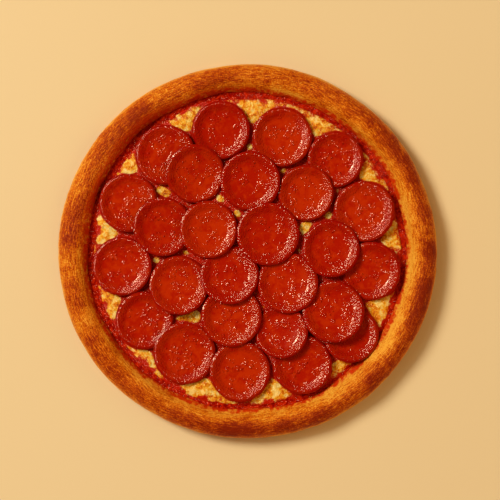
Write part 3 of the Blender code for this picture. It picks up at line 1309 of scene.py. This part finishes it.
@dataclass
class Slice:
    """One slice of pepperoni, in the form that its solid has."""

    number: int
    steps: int = 132
    top_rows: int = 44
    lip_rows: int = 10
    under_rows: int = 9
    under_start: float = 0.15
    top_end: float = 0.02
    middle_share: float = 0.1
    ring_shares: tuple[float, ...] = (0.46, 0.76, 0.96, 0.97)
    curl_orders: int = 3
    curl_power: int = 4
    lip_start: float = 0.90
    lip_round: float = 0.03
    lip_inset: float = 0.055
    lip_rise: float = 0.75 * MM
    rise_shares: Span = (0.66, 0.90)
    lip_fall: float = 0.40 * MM
    fall_shares: Span = (0.89, 0.97)
    grain_size: float = 2.4 * MM
    grain_height: float = 0.07 * MM
    edge_wander: float = 0.006
    wander_shares: Span = (0.6, 1.0)
    wander_cells: Triple = (3.0, 3.0, 1.7)
    node: str = field(init=False)
    centre: Vector = field(init=False)
    radius: float = field(init=False)
    thickness: float = field(init=False)
    form: Array = field(init=False)

    def __post_init__(self) -> None:
        """Reads the solid's place, radius, thickness and form."""
        self.node = f"pepperoni_{self.number:02d}"
        low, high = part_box(self.node)
        self.centre = (low + high) / 2.0
        self.radius = (high.x - low.x) / 2.0
        corners = corners_of(self.node)
        away = (corners[:, :2] - np.array(self.centre[:2])) / self.radius
        middle = corners[np.hypot(*away.T) < self.middle_share, 2]
        self.thickness = middle.max() - middle.min()
        self.form = self._fitted(corners, away)

    def edge_distance(self, x: Array, y: Array) -> Array:
        """How far places are outside the slice's edge, below 0 inside it.

        Args:
            x: The places' x.
            y: The places' y.

        Returns:
            The distances in metres.
        """
        return np.hypot(x - self.centre.x, y - self.centre.y) - self.radius

    def _rolled(self, share: Array) -> Array:
        """Shares of the radius that slow down from where the lip starts, so that it levels off.

        Args:
            share: Shares of the radius.

        Returns:
            The shares, of which those on the lip are smaller.
        """
        past = np.maximum(share - self.lip_start, 0.0) / self.lip_round
        return np.minimum(share, self.lip_start) + self.lip_round * (1.0 - np.exp(-past))

    def _shapes(self, across: Array, along: Array, rolled: bool = False) -> Array:
        """The shapes that a soft slice takes, for places as shares of its radius.

        They are its height and two tilts, a dish and two bends, and a curl that rises with a power
        of the distance from the middle and varies round the slice.

        Args:
            across: The places' x.
            along: The places' y.
            rolled: Whether the curl levels off at the lip.

        Returns:
            The shapes, in the last dimension.
        """
        share, angle = np.hypot(across, along), np.arctan2(along, across)
        curl = (self._rolled(share) if rolled else share) ** self.curl_power
        shapes = [np.ones_like(share), across, along]
        shapes += [share**2, across**2 - along**2, 2.0 * across * along, curl]
        for order in range(1, self.curl_orders + 1):
            shapes += [curl * np.cos(order * angle), curl * np.sin(order * angle)]
        return np.stack(shapes, axis=-1)

    def _fitted(self, corners: Array, away: Array) -> Array:
        """How much of each shape the solid has, by least squares.

        It is fitted through the upper corner in the middle and the corners whose share of the
        radius rounds to a ring's. Those are the top's rings and part of the underside's lip, so the
        form's lip lies a few tenths of a millimetre under the solid's, which the rise makes up.

        Args:
            corners: The solid's corners.
            away: Their places from the centre, as shares of the radius.

        Returns:
            One number for each shape.
        """
        share = np.hypot(*away.T)
        ringed = np.isin(np.round(share, 2), self.ring_shares)
        middle = share < self.middle_share
        used = ringed | (middle & (corners[:, 2] > corners[middle, 2].mean()))
        shapes = self._shapes(*away[used].T)
        return np.linalg.lstsq(shapes, corners[used, 2], rcond=None)[0]

    def surface(self) -> Surface:
        """The slice's surface: the fitted form over its profile, with a lip that stands and rolls.

        The lip rises by a smooth step over some shares of the radius and falls again over others,
        and its edge wanders a little with smooth noise.

        Returns:
            The surface.
        """
        share, depth = self._profile()
        wander = layered(circle(self.steps, self.number) * self.wander_cells, Draw.SLICE_EDGE, layers=2)
        wander = self.edge_wander * (1.0 + wander) * smooth_step(share, *self.wander_shares)[:, None]
        spread = share[:, None] * (1.0 - wander)
        across, along = spread * circle(self.steps)[:, 0], spread * circle(self.steps)[:, 1]
        height = self._shapes(across, along, rolled=True) @ self.form
        height += self.thickness * depth[:, None]
        height += self.lip_rise * smooth_step(spread, *self.rise_shares)
        height -= self.lip_fall * smooth_step(spread, *self.fall_shares)
        x, y = self.centre.x + self.radius * across, self.centre.y + self.radius * along
        middle, top = [*self.centre[:2]], self.form[0]
        ends = np.array([[*middle, top - self.thickness], [*middle, top]])
        tone = np.full_like(spread, hashed(np.full(3, self.number), Draw.SLICE_TONE))
        fields = {"share": spread, "tone": tone}
        plain = Surface(np.stack([x, y, height], axis=-1), ends, fields)
        grain = layered(plain.rings / self.grain_size + self.number, Draw.SLICE_GRAIN)
        return plain.raised(self.grain_height * grain * (depth > -0.5)[:, None])

    def _profile(self) -> tuple[Array, Array]:
        """The slice's section, out under it, round its lip as a half ellipse, and in over it.

        Returns:
            The share of the radius, and the depth as a share of the thickness, from -1 to 0.
        """
        edge = 1.0 - self.lip_inset
        turn = np.linspace(-0.5, 0.5, self.lip_rows + 2)[1:-1] * math.pi
        under = np.linspace(self.under_start, edge, self.under_rows)
        lip = edge + self.lip_inset * np.cos(turn)
        over = np.linspace(edge, self.top_end, self.top_rows)
        depth = [-np.ones(self.under_rows), (np.sin(turn) - 1.0) / 2.0, np.zeros(self.top_rows)]
        return np.concatenate([under, lip, over]), np.concatenate(depth)

    def build(self, finish: bpy.types.Material) -> bpy.types.Object:
        """Makes the slice and dresses it in the material that all slices share."""
        return dress(self.surface(), finish, self.node)


def dress(surface: Surface, finish: bpy.types.Material, node: str) -> bpy.types.Object:
    """Makes a surface a piece with its finish, and puts it in its node's place.

    Args:
        surface: The surface.
        finish: Its material.
        node: The node that it stands for, which gives the piece its name.

    Returns:
        The piece.
    """
    piece = surface.piece(node.capitalize())
    piece.data.materials.append(finish)
    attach(piece, BODY)
    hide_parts(node)
    LOG.info("%s: %d faces", piece.name, len(piece.data.polygons))
    return piece


# Studio


class Role(Enum):
    """What a lamp does."""

    KEY = "key"
    SPARK = "spark"
    FILL = "fill"
    BACK = "back"


@dataclass(frozen=True)
class Lamp:
    """A round soft light that looks at the pizza."""

    role: Role
    bearing: float
    elevation: float
    distance: float
    size: float
    power: float
    colour: Colour

    def build(self) -> bpy.types.Object:
        """Makes the lamp.

        Returns:
            The lamp.
        """
        data = bpy.data.lights.new(self.role.value, "AREA")
        data.shape = "DISK"
        data.size = self.size
        data.energy = self.power
        data.color = self.colour
        lamp = bpy.data.objects.new(self.role.value, data)
        level = math.cos(math.radians(self.elevation))
        bearing = math.radians(self.bearing)
        rise = math.sin(math.radians(self.elevation))
        away = Vector((level * math.cos(bearing), level * math.sin(bearing), rise))
        lamp.location = away * self.distance
        lamp.rotation_mode = "QUATERNION"
        lamp.rotation_quaternion = away.to_track_quat("Z", "Y")
        lamp.visible_glossy = self.role is Role.SPARK
        bpy.context.scene.collection.objects.link(lamp)
        return lamp


@dataclass(frozen=True)
class Studio:
    """A pale floor, soft light from the upper left, and a camera straight above."""

    floor_colour: Colour = (0.79, 0.615, 0.355)
    floor_half: float = 3.0
    floor_gap: float = 0.1 * MM
    floor_roughness: float = 0.9
    floor_gloss: float = 0.1
    cloud_colour: Colour = (1.0, 1.0, 1.0)
    cloud_size: float = 0.35
    cloud_share: float = 0.06
    sky_colour: Colour = (1.0, 0.66, 0.30)
    sky_strength: float = 0.22
    lamps: tuple[Lamp, ...] = (
        Lamp(Role.KEY, 150.0, 50.0, 3.0, 2.2, 14.0, (1.0, 0.99, 0.97)),
        Lamp(Role.SPARK, 150.0, 47.0, 3.0, 1.0, 72.0, (1.0, 0.93, 0.76)),
        Lamp(Role.FILL, -70.0, 36.0, 3.0, 2.6, 15.0, (1.0, 0.60, 0.24)),
        Lamp(Role.BACK, 20.0, 36.0, 3.0, 2.6, 15.0, (1.0, 0.60, 0.24)),
    )
    sensor_width: float = 36.0
    camera_height: float = 1.6
    view_width: float = 0.33775
    widest_height: float = 8.5 * MM
    shift_right: float = 1.59 * MM
    shift_up: float = 0.88 * MM

    def build(self) -> None:
        """Makes the floor, the sky, the lamps and the camera."""
        self._floor()
        self._sky()
        for lamp in self.lamps:
            lamp.build()
        self._camera()
        bpy.context.scene.view_settings.view_transform = "Standard"

    def _floor(self) -> None:
        """A matt floor just under the pizza, faintly clouded."""
        half = self.floor_half
        mesh = bpy.data.meshes.new("Floor")
        corners = [(-half, -half), (half, -half), (half, half), (-half, half)]
        low = CAD_BOX[0].z - self.floor_gap
        mesh.from_pydata([(x, y, low) for x, y in corners], [], [(0, 1, 2, 3)])
        floor = bpy.data.objects.new("Floor", mesh)
        bpy.context.scene.collection.objects.link(floor)
        sheet = Sheet("floor")
        clouds = self.cloud_share * sheet.noise(sheet.place(), self.cloud_size, detail=1.0)
        sockets = {
            "Base Color": sheet.mix(clouds, self.floor_colour, self.cloud_colour),
            "Roughness": self.floor_roughness,
            "Specular IOR Level": self.floor_gloss,
        }
        floor.data.materials.append(sheet.finish(sockets))

    def _sky(self) -> None:
        """An even, warm light from all round."""
        world = bpy.data.worlds.new("sky")
        bpy.context.scene.world = world
        world.use_nodes = True
        back = world.node_tree.nodes["Background"]
        back.inputs[0].default_value = (*self.sky_colour, 1.0)
        back.inputs[1].default_value = self.sky_strength
        world.cycles_visibility.glossy = False

    def _camera(self) -> None:
        """A long lens that looks straight down, with the top of the picture towards +Y."""
        data = bpy.data.cameras.new("camera")
        data.sensor_width = self.sensor_width
        reach = self.camera_height - self.widest_height
        data.lens = data.sensor_width * reach / self.view_width
        camera = bpy.data.objects.new("camera", data)
        camera.location = (self.shift_right, self.shift_up, self.camera_height)
        bpy.context.scene.collection.objects.link(camera)
        bpy.context.scene.camera = camera


def main() -> None:
    """Builds the pizza from the crust up, then the studio round it."""
    logging.basicConfig(level=logging.INFO, format="%(name)s: %(message)s")
    count = sum(name.startswith("pepperoni_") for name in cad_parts)
    slices = [Slice(number) for number in range(1, count + 1)]
    Crust().build()
    Sauce().build()
    Cheese(slices).build()
    finish = Pepperoni().material()
    for each in slices:
        each.build(finish)
    Studio().build()


if __name__ == "__main__":
    main()
